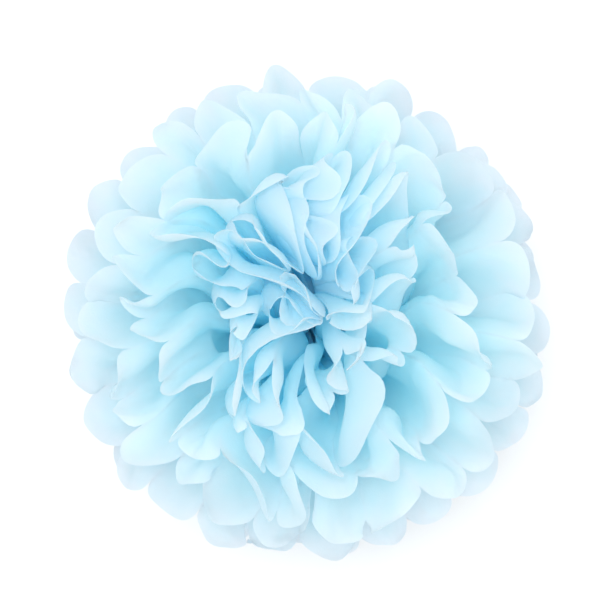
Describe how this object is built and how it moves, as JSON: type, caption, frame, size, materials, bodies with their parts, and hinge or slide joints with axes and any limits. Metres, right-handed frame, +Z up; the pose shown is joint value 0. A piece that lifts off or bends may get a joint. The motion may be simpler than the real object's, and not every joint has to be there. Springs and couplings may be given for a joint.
{
  "type": "tissue paper pom pom",
  "caption": "Round fluffy ball of pleated tissue paper sheets with rounded petals, tied round the middle with thin wire and fanned out, for hanging or laying out as a decoration.",
  "frame": {"origin": "on the surface that it rests on, under the middle of its width and depth", "axes": "+Z up along the pole that the petals open round, +X and -X the way the two pleated fans open, Y along the seam between the fans; the twisted ends of the tie point to -Y"},
  "size_m": [0.2478, 0.2478, 0.235],
  "materials": {
    "tissue": "matte, thin enough for light to pass",
    "tie_wire": "plain drawn wire"
  },
  "bodies": {
    "root": {"tissue_sheet_01": "tissue", "tissue_sheet_02": "tissue", "tissue_sheet_03": "tissue", "tissue_sheet_04": "tissue", "tissue_sheet_05": "tissue", "tissue_sheet_06": "tissue", "tissue_sheet_07": "tissue", "tissue_sheet_08": "tissue", "tissue_sheet_09": "tissue", "tissue_sheet_10": "tissue", "tie_wire": "tie_wire"}
  },
  "joints": []
}
